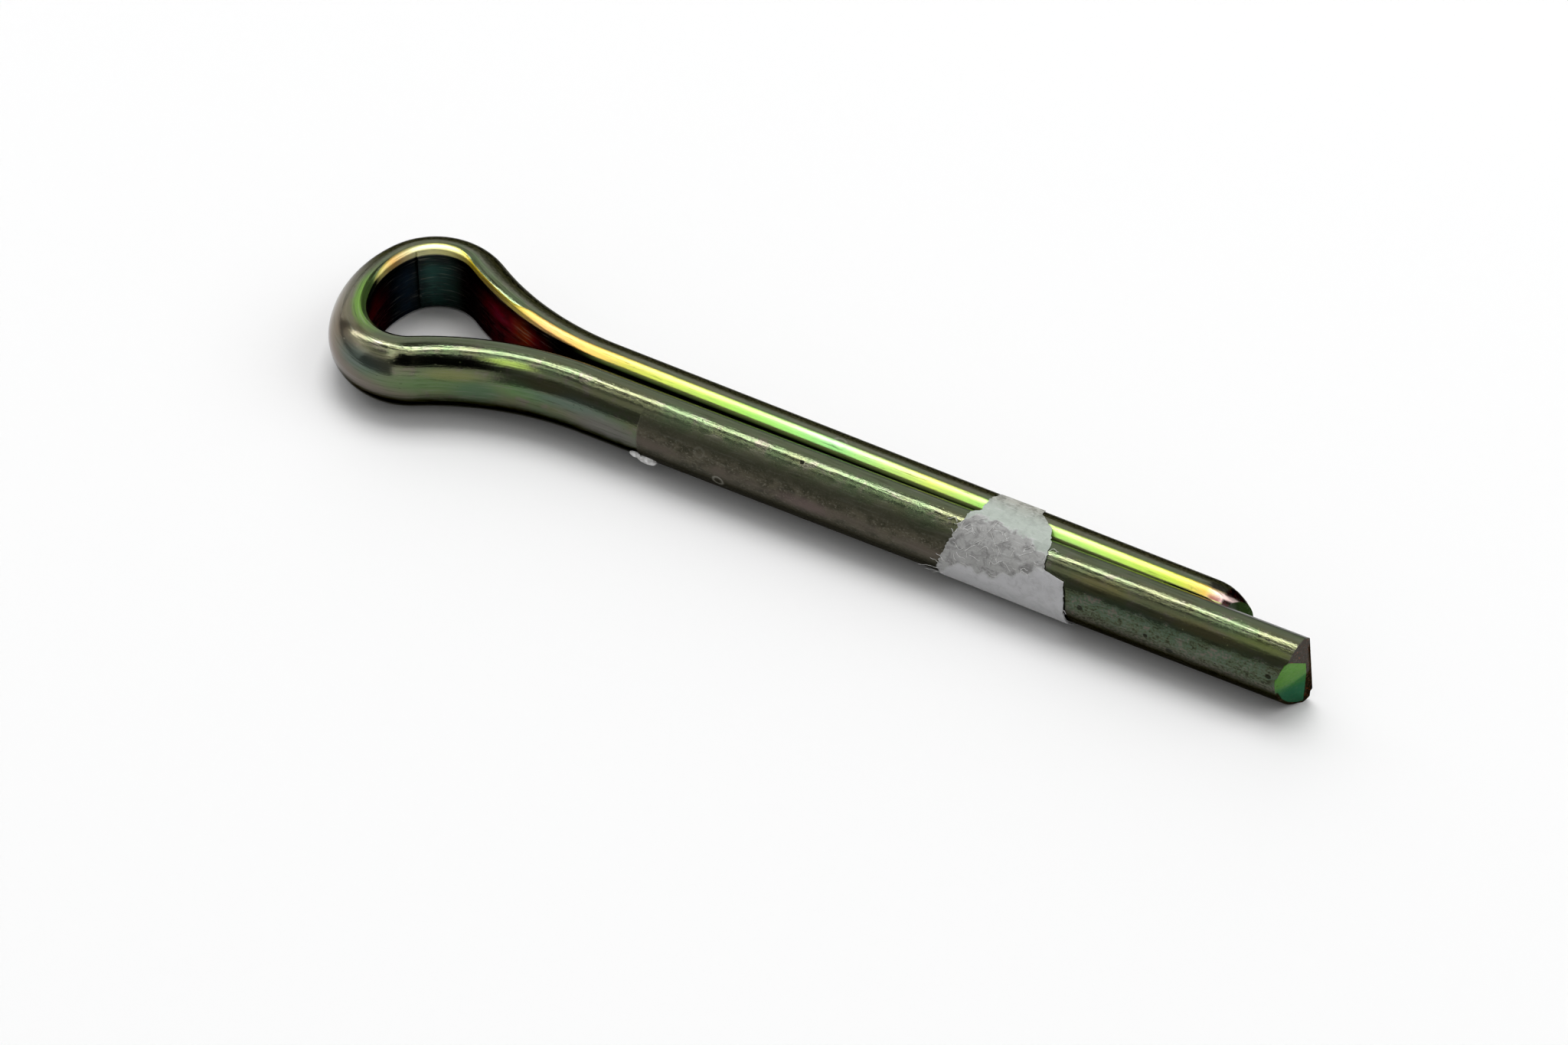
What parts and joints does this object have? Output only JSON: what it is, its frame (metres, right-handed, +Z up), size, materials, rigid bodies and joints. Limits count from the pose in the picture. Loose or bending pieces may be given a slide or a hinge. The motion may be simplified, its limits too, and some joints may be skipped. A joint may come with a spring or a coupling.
{
  "type": "cotter pin",
  "caption": "Cotter pin folded from half-round wire, with a round eye and straight legs of unequal length; a torn scrap of paper tape is stuck round the legs.",
  "frame": {"origin": "the seat point: on the pin's axis, where the eye runs out into the two straight legs and meets the rim of the hole", "axes": "+X along the legs to their tips, +Y towards the short leg, +Z up as the pin lies on its side"},
  "size_m": [0.0552, 0.0108, 0.0045],
  "materials": {
    "plated_steel": "bright drawn steel wire, yellow passivated zinc with a rainbow tint",
    "paper_tape": "torn fibrous paper tape, grey and matt"
  },
  "bodies": {
    "root": {"cotter_pin": "plated_steel", "paper_tape_scrap": "paper_tape"}
  },
  "joints": []
}
